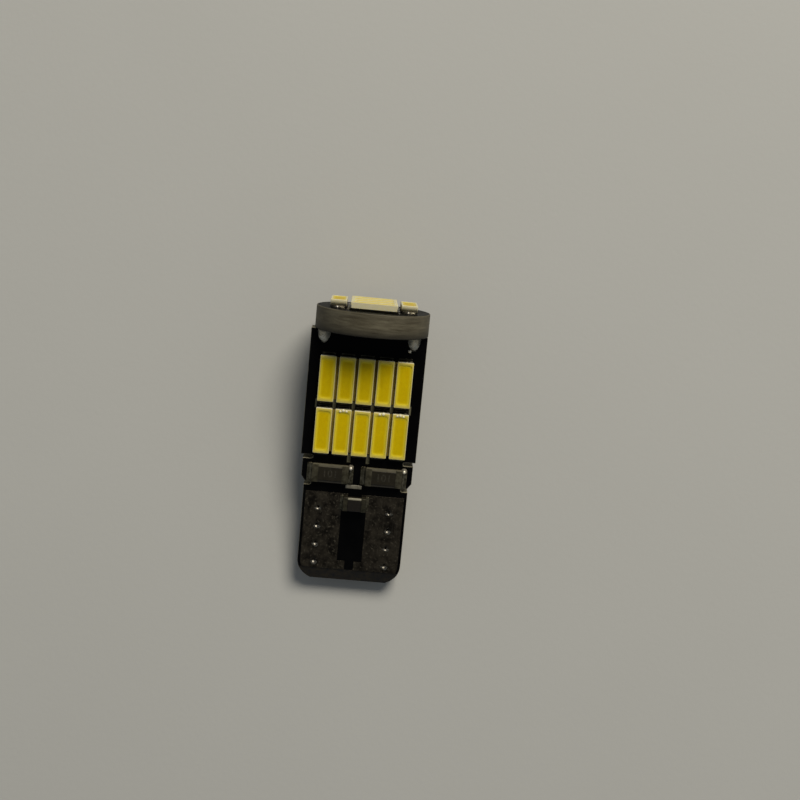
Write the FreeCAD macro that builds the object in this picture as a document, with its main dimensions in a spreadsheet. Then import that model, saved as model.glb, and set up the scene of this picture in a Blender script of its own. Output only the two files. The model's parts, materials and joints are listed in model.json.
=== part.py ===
import FreeCAD, Part
import math
import os
import re

import Sketcher

# Wedge base LED bulb: a flat board with ten LEDs and two resistors on each face, plugged into
# its socket by the tinned lower end, and a round board with six more LEDs soldered across its top.
#
# The bulb is drawn in its own frame: X across the flat board, Y from the base end to the top,
# Z out of the front face, with the origin at the middle of the base end and of the thickness.
# At the end the whole bulb is laid on its back, as it comes to rest on a table.

X_AXIS = FreeCAD.Vector(1, 0, 0)
Y_AXIS = FreeCAD.Vector(0, 1, 0)
Z_AXIS = FreeCAD.Vector(0, 0, 1)

# Driving dimensions in millimetres, the draft in degrees, and counts
SIZES = {
    # flat board, seen from the front
    "board_thickness": 2.0,
    "board_length": 22.5,
    "board_width": 10.1,
    "ear_width": 9.74,
    "ear_corner": 0.45,
    "base_width": 9.2,
    "base_corner_radius": 2.0,
    "base_corner_along": 1.85,
    "bevel_length": 1.1,
    "bevel_depth": 0.45,
    "lower_notch_clearance": 0.71,
    "upper_notch_clearance": 0.51,
    "notch_opening": 0.36,
    "notch_floor_width": 7.9,
    # round board
    "rim_inset": 0.1,
    "top_thickness": 2.0,
    "top_shift": 0.16,
    # tinned contacts of the base, on both faces and joined through plated holes
    "contact_thickness": 0.05,
    "contact_margin": 0.24,
    "contact_clearance": 0.92,
    "contact_gap": 2.2,
    "foot_length": 0.8,
    "foot_gap": 0.8,
    "barrel_diameter": 0.6,
    "via_bore": 0.44,
    "via_edge": 1.45,
    "via_start": 1.75,
    "via_pitch": 1.64,
    "via_top_margin": 1.3,
    # one LED
    "led_length": 4.0,
    "led_width": 1.4,
    "led_thickness": 0.7,
    "end_wall": 0.26,
    "side_wall": 0.14,
    "window_corner": 0.16,
    "cup_depth": 0.4,
    "cup_draft": 18,
    "fill_drop": 0.03,
    "terminal_length": 0.7,
    "terminal_inset": 0.1,
    "terminal_thickness": 0.2,
    "terminal_overhang": 0.05,
    "led_solder_foot": 0.03,
    "led_solder_round": 0.17,
    "led_solder_reach": 0.03,
    # places of the LEDs
    "top_clearance": 2.24,
    "row_gap": 0.6,
    "column_gap": 0.27,
    "column_count": 5,
    "stack_gap": 0.22,
    "stack_count": 4,
    "side_led_gap": 0.34,
    "side_led_count": 2,
    # chip resistors
    "resistor_length": 3.2,
    "resistor_width": 1.6,
    "resistor_thickness": 0.55,
    "resistor_band": 0.55,
    "resistor_plating": 0.05,
    "resistor_edge": 0.2,
    "resistor_gap": 1.52,
    "resistor_count": 2,
    "resistor_clearance": 1.03,
    "land_width": 1.66,
    "land_foot": 0.05,
    "land_round": 0.3,
    "land_reach": 0.2,
    # chip capacitor across the two contacts
    "capacitor_length": 2.0,
    "capacitor_width": 1.25,
    "capacitor_thickness": 0.8,
    "capacitor_band": 0.4,
    "capacitor_recess": 0.03,
    "capacitor_margin": 0.165,
    "capacitor_solder_foot": 0.03,
    "capacitor_solder_round": 0.22,
    "capacitor_solder_reach": 0.04,
    # solder joints between the two boards
    "joint_inset": 1.15,
    "joint_width": 1.15,
    "joint_foot": 0.12,
    "joint_round": 0.75,
    "joint_reach": 0.4,
}

doc = FreeCAD.newDocument("bulb")
sheet = doc.addObject("Spreadsheet::Sheet", "Sizes")
for row, (alias, value) in enumerate(SIZES.items(), start=1):
    sheet.set(f"A{row}", alias)
    sheet.set(f"B{row}", str(value))
    sheet.setAlias(f"B{row}", alias)
doc.recompute()

parts = []


# Sizes worked out from the driving ones, and what a cut corner loses as its outline moves in
TOP_DIAMETER = "(board_width - 2 * rim_inset)"
WINDOW_LENGTH = "(led_length - 2 * end_wall)"
WINDOW_WIDTH = "(led_width - 2 * side_wall)"
TERMINAL_WIDTH = "(led_width - 2 * terminal_inset)"
CORNER_SHRINK = 2 - math.sqrt(2)

# Places along the flat board, one after another from the round board down to the base
UPPER_ROW = "(board_length - top_clearance - led_length / 2)"
LOWER_ROW = f"({UPPER_ROW} - led_length - row_gap)"
UPPER_NOTCH = f"({LOWER_ROW} - led_length / 2 - upper_notch_clearance)"
RESISTORS = f"({LOWER_ROW} - led_length / 2 - resistor_clearance - resistor_width / 2)"
CONTACT_END = f"({RESISTORS} - land_width / 2 - contact_clearance)"
LOWER_NOTCH = f"({CONTACT_END} + lower_notch_clearance)"
CAPACITOR = f"({CONTACT_END} - capacitor_margin - capacitor_width / 2)"
BRIDGE_START = f"({CAPACITOR} - capacitor_width / 2 - capacitor_margin)"

# Spacings, from the size of what is repeated and the gap between two of them
COLUMN_PITCH = "(led_width + column_gap)"
STACK_PITCH = "(led_width + stack_gap)"
SIDE_LED_SPREAD = "(led_length + led_width + 2 * side_led_gap)"
RESISTOR_SPREAD = "(resistor_length + resistor_gap)"
BRIDGE_GAP = "(capacitor_length - 2 * capacitor_band)"
VIA_ACROSS = "(base_width / 2 - via_edge)"
VIA_COUNT = f"(floor(({CONTACT_END} - via_top_margin - via_start) / via_pitch) + 1)"


# Reading and binding sizes

def from_sheet(text):
    """The expression with each size name read from the sheet."""
    return re.sub(r"[a-z_]+", lambda word: f"Sizes.{word[0]}" if word[0] in SIZES else word[0], text)


def value_of(text):
    return float(sheet.evalExpression(from_sheet(text)))


def count_of(name):
    return round(value_of(name))


def bind(feature, **properties):
    for name, text in properties.items():
        feature.setExpression(name, from_sheet(text))


# Bodies, sketches and features

def new_body(label, placement):
    body = doc.addObject("PartDesign::Body", label)
    body.Label = label
    body.AllowCompound = True
    body.Placement = placement
    parts.append(body)
    return body


def origin_feature(body, role):
    return next(feature for feature in body.Origin.OriginFeatures if feature.Role == role)


def new_sketch(body, plane, lift="0"):
    """Sketch on one of the body's own origin planes, raised along the plane's normal."""
    sketch = body.newObject("Sketcher::SketchObject", "Sketch")
    sketch.AttachmentSupport = (origin_feature(body, plane), "")
    sketch.MapMode = "FlatFace"
    sketch.setExpression("AttachmentOffset.Base.z", from_sheet(lift))
    return sketch


def pad(body, sketch, length, **options):
    return extrude(body, "PartDesign::Pad", sketch, length, options)


def pocket(body, sketch, length, **options):
    return extrude(body, "PartDesign::Pocket", sketch, length, options)


def extrude(body, kind, sketch, length, options):
    feature = body.newObject(kind, kind.split("::")[1])
    feature.Profile = sketch
    draft = options.pop("draft", None)
    for name, value in options.items():
        setattr(feature, name, value)
    bind(feature, Length=length)
    if draft:
        bind(feature, TaperAngle=draft)
    return feature


def repeat(body, originals, axis, count, pitch):
    """Copies of the features in a row along one of the body's axes."""
    pattern = body.newObject("PartDesign::LinearPattern", "LinearPattern")
    pattern.Originals = originals
    pattern.Direction = (origin_feature(body, axis), [""])
    bind(pattern, Occurrences=count, Length=f"{pitch} * ({count} - 1)")
    body.Tip = pattern
    return pattern


# Sketch outlines; every place is an expression of sizes

def hold(sketch, kind, places, text):
    index = sketch.addConstraint(Sketcher.Constraint(kind, *places, value_of(text)))
    sketch.setExpression(f"Constraints[{index}]", from_sheet(text))


def hold_point(sketch, element, end, across, along):
    hold(sketch, "DistanceX", (-1, 1, element, end), across)
    hold(sketch, "DistanceY", (-1, 1, element, end), along)


def outline(sketch, corners):
    """Closed outline of straight edges through the corners."""
    first = sketch.GeometryCount
    points = [FreeCAD.Vector(value_of(across), value_of(along), 0) for across, along in corners]
    for start, end in zip(points, points[1:] + points[:1]):
        sketch.addGeometry(Part.LineSegment(start, end), False)
    for index, (across, along) in enumerate(corners):
        before = first + (index - 1) % len(corners)
        sketch.addConstraint(Sketcher.Constraint("Coincident", before, 2, first + index, 1))
        hold_point(sketch, first + index, 1, across, along)


def rectangle(sketch, left, right, low, high):
    outline(sketch, [(left, low), (right, low), (right, high), (left, high)])


def centred_rectangle(sketch, length, width):
    rectangle(sketch, f"-({length}) / 2", f"({length}) / 2", f"-({width}) / 2", f"({width}) / 2")


def circle(sketch, across, along, diameter):
    shape = Part.Circle(FreeCAD.Vector(value_of(across), value_of(along), 0), Z_AXIS, value_of(diameter) / 2)
    element = sketch.addGeometry(shape, False)
    hold_point(sketch, element, 3, across, along)
    hold(sketch, "Diameter", (element,), diameter)


def window(sketch, middle, length, width, corner):
    """Rectangle with cut corners, its length along the sketch's X axis."""
    end, side = f"({length}) / 2", f"({width}) / 2"
    quarter = [(end, f"{side} - ({corner})"), (f"{end} - ({corner})", side)]
    signs = ((1, 1), (-1, 1), (-1, -1), (1, -1))
    corners = []
    for sign_across, sign_along in signs:
        points = quarter if sign_across == sign_along else quarter[::-1]
        corners += [(f"{middle} + {sign_across} * ({across})", f"{sign_along} * ({along})")
                    for across, along in points]
    outline(sketch, corners)


def fillet_profile(sketch, wall, side, solder):
    """Section of a solder fillet: a thin foot, then a hollow curve up the wall it is soldered to."""
    foot, radius, reach = f"{solder}_foot", f"{solder}_round", f"{solder}_reach"
    step = "+" if side > 0 else "-"
    toe = f"{wall} {step} ({radius} + {reach})"
    bend = f"{wall} {step} {radius}"
    top = f"{foot} + {radius}"
    corners = [(bend, foot), (toe, foot), (toe, "0"), (wall, "0"), (wall, top)]
    points = [FreeCAD.Vector(value_of(across), value_of(along), 0) for across, along in corners]
    first = sketch.GeometryCount
    for begin, end in zip(points, points[1:]):
        sketch.addGeometry(Part.LineSegment(begin, end), False)
    last = first + len(corners) - 2
    for edge in range(first, last):
        sketch.addConstraint(Sketcher.Constraint("Coincident", edge, 2, edge + 1, 1))
    for edge, (across, along) in enumerate(corners[:-1], start=first):
        hold_point(sketch, edge, 1, across, along)
    hold_point(sketch, last, 2, *corners[-1])

    centre = FreeCAD.Vector(value_of(bend), value_of(top), 0)
    ring = Part.Circle(centre, Z_AXIS, value_of(radius))
    start = math.pi if side > 0 else 1.5 * math.pi
    curve = sketch.addGeometry(Part.ArcOfCircle(ring, start, start + math.pi / 2), False)
    low, high = (2, 1) if side > 0 else (1, 2)
    sketch.addConstraint(Sketcher.Constraint("Coincident", last, 2, curve, high))
    sketch.addConstraint(Sketcher.Constraint("Coincident", first, 1, curve, low))
    hold(sketch, "Radius", (curve,), radius)


# Frames of the faces that carry things, in the bulb's own frame

def turned(axis, degrees):
    return FreeCAD.Placement(FreeCAD.Vector(), FreeCAD.Rotation(axis, degrees))


def moved(across=0.0, along=0.0, out=0.0):
    return FreeCAD.Placement(FreeCAD.Vector(across, along, out), FreeCAD.Rotation())


BULB = FreeCAD.Placement()
FRONT = moved(out=value_of("board_thickness / 2"))
BACK = turned(Y_AXIS, 180) * FRONT
TOP = moved(value_of("top_shift"), value_of("board_length + top_thickness")) * turned(X_AXIS, -90)
ALONG = turned(Z_AXIS, 90)


# Boards

def flat_board():
    """Blade of the bulb: LED field, two ears between side notches, and the narrower base."""
    body = new_body("flat_board", BULB)
    right_side = [
        ("base_width / 2", "0"),
        ("base_width / 2", LOWER_NOTCH),
        ("ear_width / 2 - ear_corner", LOWER_NOTCH),
        ("ear_width / 2", f"{LOWER_NOTCH} + notch_opening / 2 + ear_corner"),
        ("ear_width / 2", UPPER_NOTCH),
        ("board_width / 2", UPPER_NOTCH),
        ("board_width / 2", "board_length"),
    ]
    left_side = [(f"-({across})", along) for across, along in reversed(right_side)]
    blank = new_sketch(body, "XY_Plane")
    outline(blank, right_side + left_side)
    pad(body, blank, "board_thickness", Midplane=True)
    for side in (1, -1):
        corner = new_sketch(body, "XY_Plane")
        corner_waste(corner, side, "0", "0")
        pocket(body, corner, "board_thickness", Midplane=True)
    cut_bevels(body)
    cut_notches(body)
    cut_via_holes(body)
    return body


def corner_waste(sketch, side, inset, low):
    """What a rounded corner of the base takes off: its arc meets the side, inset by a margin, at a tangent."""
    radius = f"(base_corner_radius - {inset})"
    middle = f"{side} * (base_width / 2 - base_corner_radius)"
    edge = f"{side} * (base_width / 2 - {inset})"
    foot = f"{middle} + {side} * sqrt({radius}^2 - (base_corner_along - {low})^2)"
    corners = [(edge, "base_corner_along"), (edge, low), (foot, low)]
    points = [FreeCAD.Vector(value_of(across), value_of(along), 0) for across, along in corners]
    down = sketch.addGeometry(Part.LineSegment(points[0], points[1]), False)
    inward = sketch.addGeometry(Part.LineSegment(points[1], points[2]), False)
    sketch.addConstraint(Sketcher.Constraint("Coincident", down, 2, inward, 1))
    for line, end, place in ((down, 1, corners[0]), (inward, 1, corners[1]), (inward, 2, corners[2])):
        hold_point(sketch, line, end, *place)

    centre = FreeCAD.Vector(value_of(middle), points[0].y, 0)
    ring = Part.Circle(centre, Z_AXIS, value_of(radius))
    fall = math.asin((points[0].y - points[2].y) / value_of(radius))
    angles = (-fall, 0) if side > 0 else (math.pi, math.pi + fall)
    curve = sketch.addGeometry(Part.ArcOfCircle(ring, *angles), False)
    foot_end, edge_end = (1, 2) if side > 0 else (2, 1)
    sketch.addConstraint(Sketcher.Constraint("Coincident", inward, 2, curve, foot_end))
    sketch.addConstraint(Sketcher.Constraint("Coincident", down, 1, curve, edge_end))
    hold(sketch, "Radius", (curve,), radius)


def cut_bevels(body):
    """Both faces slope at the base end, which leads the bulb into its socket."""
    for face in ("board_thickness / 2", "-board_thickness / 2"):
        inner = f"{face} - bevel_depth" if face[0] == "b" else f"{face} + bevel_depth"
        wedge = new_sketch(body, "YZ_Plane")
        outline(wedge, [("0", face), ("0", inner), ("bevel_length", face)])
        pocket(body, wedge, "base_width", Midplane=True)


def cut_notches(body):
    """Round-ended side notches above and below the ears."""
    floor = "notch_floor_width / 2"
    for height in (LOWER_NOTCH, UPPER_NOTCH):
        for side in ("", "-"):
            slot = new_sketch(body, "XY_Plane")
            rectangle(slot, f"{side}({floor} + notch_opening / 2)", f"{side}board_width",
                      f"{height} - notch_opening / 2", f"{height} + notch_opening / 2")
            pocket(body, slot, "board_thickness", Midplane=True)
            end = new_sketch(body, "XY_Plane")
            circle(end, f"{side}({floor} + notch_opening / 2)", height, "notch_opening")
            pocket(body, end, "board_thickness", Midplane=True)


def cut_via_holes(body):
    holes = new_sketch(body, "XY_Plane")
    for side in ("", "-"):
        circle(holes, f"{side}{VIA_ACROSS}", "via_start", "barrel_diameter")
    first = pocket(body, holes, "board_thickness", Midplane=True)
    repeat(body, [first], "Y_Axis", VIA_COUNT, "via_pitch")


def round_board():
    """Disc soldered across the top end of the flat board."""
    place = moved(value_of("top_shift"), value_of("board_length")) * turned(X_AXIS, -90)
    body = new_body("round_board", place)
    disc = new_sketch(body, "XY_Plane")
    circle(disc, "0", "0", TOP_DIAMETER)
    pad(body, disc, "top_thickness")
    return body


# Contacts of the base

def contact(label, side):
    """One pole: a tinned plate on each face, joined by a row of plated holes."""
    body = new_body(label, BULB)
    face = "board_thickness / 2"
    outer = "base_width / 2 - contact_margin"
    plate_corners = [
        ("foot_gap / 2", "bevel_length"),
        (outer, "bevel_length"),
        (outer, CONTACT_END),
        (f"{BRIDGE_GAP} / 2", CONTACT_END),
        (f"{BRIDGE_GAP} / 2", BRIDGE_START),
        ("contact_gap / 2", BRIDGE_START),
        ("contact_gap / 2", "bevel_length + foot_length"),
        ("foot_gap / 2", "bevel_length + foot_length"),
    ]
    plate_corners = [(f"{side} * ({across})", along) for across, along in plate_corners]
    via_centre = f"{side} * {VIA_ACROSS}"

    front = new_sketch(body, "XY_Plane", face)
    outline(front, plate_corners)
    pad(body, front, "contact_thickness")
    barrel = new_sketch(body, "XY_Plane", face)
    circle(barrel, via_centre, "via_start", "barrel_diameter")
    first_barrel = pad(body, barrel, "board_thickness", Reversed=True)
    repeat(body, [first_barrel], "Y_Axis", VIA_COUNT, "via_pitch")
    back = new_sketch(body, "XY_Plane", f"-{face}")
    outline(back, plate_corners)
    pad(body, back, "contact_thickness", Reversed=True)
    corner = new_sketch(body, "XY_Plane")
    corner_waste(corner, side, "contact_margin", "bevel_length")
    pocket(body, corner, "board_thickness + 2 * contact_thickness", Midplane=True)
    bore = new_sketch(body, "XY_Plane", f"{face} + contact_thickness")
    circle(bore, via_centre, "via_start", "via_bore")
    first_bore = pocket(body, bore, "board_thickness + 2 * contact_thickness")
    repeat(body, [first_bore], "Y_Axis", VIA_COUNT, "via_pitch")
    return body


# LEDs: each group of them lies in rows along its own X axis and columns along its own Y axis

def group_frame(face, count, pitch):
    """Frame of a group's first column, so that its columns lie evenly about the middle of the face."""
    return face * moved(along=value_of(f"-{pitch} * ({count} - 1) / 2"))


def led_housing(label, place):
    """White moulding with a tapered cup for the light and a step over each terminal."""
    body = new_body(label, place)
    block = new_sketch(body, "XY_Plane")
    centred_rectangle(block, "led_length", "led_width")
    pad(body, block, "led_thickness")
    steps = new_sketch(body, "XZ_Plane")
    for side in ("", "-"):
        rectangle(steps, f"{side}(led_length / 2 - terminal_length)", f"{side}led_length / 2",
                  "0", "terminal_thickness")
    pocket(body, steps, "led_width", Midplane=True)
    rim = new_sketch(body, "XY_Plane", "led_thickness")
    window(rim, "0", WINDOW_LENGTH, WINDOW_WIDTH, "window_corner")
    pocket(body, rim, "cup_depth", draft="-cup_draft")
    return body


def led_fills(label, place, rows, count, pitch):
    """Yellow phosphor that fills the cups of a group, just below their rims."""
    body = new_body(label, place)
    inset = "fill_drop * tan(cup_draft)"
    level = new_sketch(body, "XY_Plane", "led_thickness - fill_drop")
    for row in rows:
        window(level, row, f"{WINDOW_LENGTH} - 2 * {inset}", f"{WINDOW_WIDTH} - 2 * {inset}",
               f"window_corner - {inset} * {CORNER_SHRINK}")
    fill = pad(body, level, "cup_depth - fill_drop", Reversed=True, draft="-cup_draft")
    repeat(body, [fill], "Y_Axis", count, pitch)
    return body


def led_terminals(label, place, rows, count, pitch):
    """Metal terminals under the ends of a group's housings."""
    body = new_body(label, place)
    ends = new_sketch(body, "XZ_Plane")
    for row in rows:
        for side in ("+", "-"):
            rectangle(ends, f"{row} {side} (led_length / 2 - terminal_length)",
                      f"{row} {side} (led_length / 2 + terminal_overhang)", "0", "terminal_thickness")
    bar = pad(body, ends, TERMINAL_WIDTH, Midplane=True)
    repeat(body, [bar], "Y_Axis", count, pitch)
    return body


def led_solder(label, place, rows, count, pitch):
    """Solder fillets at both ends of a group's LEDs."""
    body = new_body(label, place)
    profile = new_sketch(body, "XZ_Plane")
    for row in rows:
        for side, step in ((1, "+"), (-1, "-")):
            wall = f"{row} {step} (led_length / 2 + terminal_overhang)"
            fillet_profile(profile, wall, side, "led_solder")
    fillet = pad(body, profile, TERMINAL_WIDTH, Midplane=True)
    repeat(body, [fillet], "Y_Axis", count, pitch)
    return body


def led_group(name, face, rows, count, pitch):
    """All LEDs of one group, numbered from the left: rows maps each row's name to its place."""
    place = group_frame(face, count, pitch)
    for row_name, row in rows.items():
        for column in range(count_of(count)):
            spot = place * moved(value_of(row), column * value_of(pitch))
            led_housing(f"led_{name}{row_name}_{count_of(count) - column}", spot)
    heights = list(rows.values())
    led_fills(f"phosphor_{name}", place, heights, count, pitch)
    led_terminals(f"led_terminals_{name}", place, heights, count, pitch)
    led_solder(f"led_solder_{name}", place, heights, count, pitch)


# Chip resistors: two in a row on each face, drawn about the first

def resistor_pair(name, face):
    shift = value_of(RESISTOR_SPREAD) / 2
    height = value_of(RESISTORS)
    first = face * moved(-shift, height)
    for side, offset in (("left", -shift), ("right", shift)):
        resistor_ceramic(f"resistor_{name}_{side}", face * moved(offset, height))
    for build, label in ((resistor_coats, "coats"), (resistor_ends, "ends"), (resistor_solder, "solder")):
        repeat_pair(build(f"resistor_{label}_{name}", first))


def repeat_pair(body):
    repeat(body, [body.Tip], "X_Axis", "resistor_count", RESISTOR_SPREAD)


def resistor_ceramic(label, place):
    body = new_body(label, place)
    block = new_sketch(body, "XY_Plane", "resistor_plating")
    centred_rectangle(block, "resistor_length - 2 * resistor_plating", "resistor_width")
    pad(body, block, "resistor_thickness - 2 * resistor_plating")
    return body


def resistor_coats(label, place):
    """Black overcoat on the resistance layer, between the metal ends."""
    body = new_body(label, place)
    film = new_sketch(body, "XY_Plane", "resistor_thickness - resistor_plating")
    centred_rectangle(film, "resistor_length - 2 * resistor_band", "resistor_width - 2 * resistor_edge")
    pad(body, film, "resistor_plating")
    return body


def resistor_ends(label, place):
    """Plated ends that wrap round the ceramic from the top to the underside."""
    body = new_body(label, place)
    section = new_sketch(body, "XZ_Plane")
    outer = "resistor_length / 2"
    inner = f"{outer} - resistor_band"
    skin = f"{outer} - resistor_plating"
    top = "resistor_thickness"
    under_top = f"{top} - resistor_plating"
    wrap = [(outer, "0"), (outer, top), (inner, top), (inner, under_top), (skin, under_top),
            (skin, "resistor_plating"), (inner, "resistor_plating"), (inner, "0")]
    for side in ("", "-"):
        outline(section, [(f"{side}({across})", out) for across, out in wrap])
    pad(body, section, "resistor_width", Midplane=True)
    return body


def resistor_solder(label, place):
    """Tinned lands of the board with the solder drawn up the resistor's ends."""
    body = new_body(label, place)
    profile = new_sketch(body, "XZ_Plane")
    for side, wall in ((1, "resistor_length / 2"), (-1, "-resistor_length / 2")):
        fillet_profile(profile, wall, side, "land")
    pad(body, profile, "land_width", Midplane=True)
    return body


# Chip capacitor, soldered onto the feet of the two contacts

def capacitor():
    place = FRONT * moved(along=value_of(CAPACITOR), out=value_of("contact_thickness"))
    body = new_body("capacitor_body", place)
    core = new_sketch(body, "XY_Plane", "capacitor_recess")
    centred_rectangle(core, "capacitor_length - 2 * capacitor_band",
                      "capacitor_width - 2 * capacitor_recess")
    pad(body, core, "capacitor_thickness - 2 * capacitor_recess")

    body = new_body("capacitor_ends", place)
    ends = new_sketch(body, "XY_Plane")
    for side in ("", "-"):
        rectangle(ends, f"{side}(capacitor_length / 2 - capacitor_band)", f"{side}capacitor_length / 2",
                  "-capacitor_width / 2", "capacitor_width / 2")
    pad(body, ends, "capacitor_thickness")

    body = new_body("capacitor_solder", place)
    profile = new_sketch(body, "XZ_Plane")
    for side, wall in ((1, "capacitor_length / 2"), (-1, "-capacitor_length / 2")):
        fillet_profile(profile, wall, side, "capacitor_solder")
    pad(body, profile, "capacitor_width", Midplane=True)


# Solder joints in the corners between the flat board and the round one

def corner_joint(label, face, side):
    """Hollow fillet of solder up the underside of the round board."""
    shift = side * value_of("board_width / 2 - joint_inset")
    body = new_body(label, face * moved(shift, value_of("board_length")))
    profile = new_sketch(body, "YZ_Plane")
    fillet_profile(profile, "0", -1, "joint")
    pad(body, profile, "joint_width", Midplane=True)
    return body


# The bulb lies on its back: the lower ends of the back contacts and the rim of the disc touch the table

def lay_down():
    """Tilt every sub-part to the resting pose, then put the origin under the middle of the whole."""
    rim_depth = value_of(f"{TOP_DIAMETER} / 2")
    contact_depth = value_of("board_thickness / 2 + contact_thickness")
    run = value_of("board_length - bevel_length")
    rest = turned(X_AXIS, math.degrees(math.atan2(rim_depth - contact_depth, run)))
    for part in parts:
        part.Placement = rest * part.Placement
    doc.recompute()
    box = FreeCAD.BoundBox()
    for part in parts:
        box.add(part.Shape.optimalBoundingBox(False))
    shift = moved(-box.Center.x, -box.Center.y, -box.ZMin)
    for part in parts:
        part.Placement = shift * part.Placement
    doc.recompute()


def check_document():
    for item in doc.Objects:
        if "Invalid" in item.State or "Error" in item.State:
            raise RuntimeError(f"{item.Label} did not compute: {item.State}")
    for part in parts:
        if part.Shape.isNull() or not part.Shape.isValid():
            raise RuntimeError(f"{part.Label} has no valid shape")


flat_board()
round_board()
contact("contact_left", -1)
contact("contact_right", 1)
board_rows = {"_lower": LOWER_ROW, "_upper": UPPER_ROW}
led_group("front", FRONT * ALONG, board_rows, "column_count", COLUMN_PITCH)
led_group("back", BACK * ALONG, board_rows, "column_count", COLUMN_PITCH)
led_group("top_middle", TOP, {"": "0"}, "stack_count", STACK_PITCH)
led_group("top_side", TOP * ALONG, {"": "0"}, "side_led_count", SIDE_LED_SPREAD)
resistor_pair("front", FRONT)
resistor_pair("back", BACK)
capacitor()
for face_name, face in (("front", FRONT), ("back", BACK)):
    for side_name, side in (("left", -1), ("right", 1)):
        corner_joint(f"corner_joint_{face_name}_{side_name}", face, side)

doc.recompute()
check_document()
lay_down()
check_document()
os.makedirs("parts", exist_ok=True)
for part in parts:
    part.Shape.exportStep(f"parts/{part.Label}.step")
print(len(parts), "sub-parts")
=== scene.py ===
import json
import math
import random

import bmesh
import bpy
from mathutils import Matrix, Vector, noise


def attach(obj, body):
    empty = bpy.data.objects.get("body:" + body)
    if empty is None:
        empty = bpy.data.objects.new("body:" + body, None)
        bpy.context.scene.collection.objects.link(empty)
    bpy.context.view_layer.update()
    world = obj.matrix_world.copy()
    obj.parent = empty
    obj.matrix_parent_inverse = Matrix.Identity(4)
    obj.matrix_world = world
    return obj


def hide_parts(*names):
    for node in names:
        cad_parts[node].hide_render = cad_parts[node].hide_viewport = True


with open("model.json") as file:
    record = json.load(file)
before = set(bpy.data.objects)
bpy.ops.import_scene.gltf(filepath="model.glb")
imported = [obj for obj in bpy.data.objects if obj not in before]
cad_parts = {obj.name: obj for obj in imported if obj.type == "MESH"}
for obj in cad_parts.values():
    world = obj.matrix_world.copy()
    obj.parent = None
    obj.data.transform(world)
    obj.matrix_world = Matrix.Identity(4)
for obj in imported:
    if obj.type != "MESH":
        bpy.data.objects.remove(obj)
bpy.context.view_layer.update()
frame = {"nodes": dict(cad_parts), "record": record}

# Wedge base LED bulb on a pale surface. Lengths are written in millimetres and
# used in metres. Each face of the bulb has a frame of its own: X across or
# along, Z out of the face, with the same origin as the bulb, in the middle of
# the base end.

MM = 0.001
random.seed(7)

# Rounded edges, and the least angle in degrees of an edge that is rounded
BOARD_EDGE = 0.08
PLATE_EDGE = 0.02
CHIP_EDGE = 0.05
EDGE_STEPS = 2
SHARP_ANGLE = 25

# How near points have to be to merge, and how many degrees still count as flat
MERGE = 1e-4
FLAT_ANGLE = 1

# LED housings: their rims, windows and cups, and how much of the phosphor's
# yellow, as painted light, each level of the rim takes, from its outer edge to the cup's floor
RIM_ROUND = 0.03
RIM_BEND = 0.009
HOUSING_CORNER = 0.07
WINDOW_CORNER = 0.25
END_WALL = 0.26
SIDE_WALL = 0.14
CUP_DEPTH = 0.4
CUP_SLOPE = math.tan(math.radians(18))
RIM_GLOW = (0.75, 1.0, 1.0, 1.0, 1.0)

# Resin in the cups: its drop below the rim, how far its middle sinks, and the
# shares of the window at which its levels lie; the edge glows beyond one share
RESIN_DROP = 0.03
RESIN_SINK = 0.05
RESIN_SHARES = (1.0, 0.95, 0.87, 0.76, 0.6, 0.4)
RESIN_STEPS = 8
RESIN_UNDER = 0.2
RESIN_UNDER_INSET = 0.05
GLOW_START = 0.6

# Terminals of the LEDs, and the ranges that their solder is drawn from
TERMINAL_STEP = 0.7
TERMINAL_THICKNESS = 0.2
TERMINAL_OVERHANG = 0.05
TERMINAL_INSET = 0.1
LED_LAND = 0.22
LED_SOLDER_RISE = (0.8, 1.0)
LED_SOLDER_WIDTH = (0.85, 0.97)
LED_SOLDER_REACH = (0.17, 0.21)

# Tinned lands, the plating of the chips, and how far and how high solder climbs
LAND_THICKNESS = 0.035
LAND_SHOULDER = 0.7
LAND_ROUND = 0.03
LAND_CORNERS = (0.06, 0.05)
LAND_MARGIN = 0.05
PLATED = Vector((0.05, 0, -0.05))
RESISTOR_SOLDER = (0.4, 0.36)
CAPACITOR_SOLDER = (0.22, 0.3)
FILLET_LEVELS = 10

# Value printed on the resistors
VALUE = "101"
VALUE_SIZE = 0.95
INK_THICKNESS = 0.002

# Plated holes of the contacts, and the section of the tin round them: how far
# from the bore and how high each point lies, from the plate down into the hole
HOLE_ACROSS = 3.15
HOLE_START = 1.75
HOLE_PITCH = 1.64
HOLE_COUNT = 4
HOLE_RADIUS = 0.22
COLLAR_SECTION = (
    (0.16, 0.0), (0.12, 0.008), (0.07, 0.012), (0.03, 0.006), (0.0, -0.01),
    (-0.06, -0.04), (-0.12, -0.09), (-0.16, -0.15), (-0.15, -0.3), (-0.02, -0.4),
)
COLLAR_STEPS = 24
COLLAR_SWELL = 1.1
COLLAR_LIT = 0.4

# How square to its axis a board's face is, and the sloping faces of the base
FACE_LEAN = 0.995
SLOPE_LEAN = (0.9, 0.95)
SLOPE_AREA = 1

# Rows of LEDs on the flat board: their middles along it, and the board between them
LED_ROWS = (13.66, 18.26)
LED_PITCH = 1.67
ROW_REACH = 1.9
FIELD_REACH = 3.3

# Short tracks that run on from the gaps between the columns: for each row of them
# its middle along the board and how far it reaches to each side
TRACK_ROWS = ((11.3, 1.4), (15.96, 4.22))
TRACK_REACH = 0.42
TRACK_HALF_WIDTH = 0.12
SOFT_EDGE = 0.06
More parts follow.
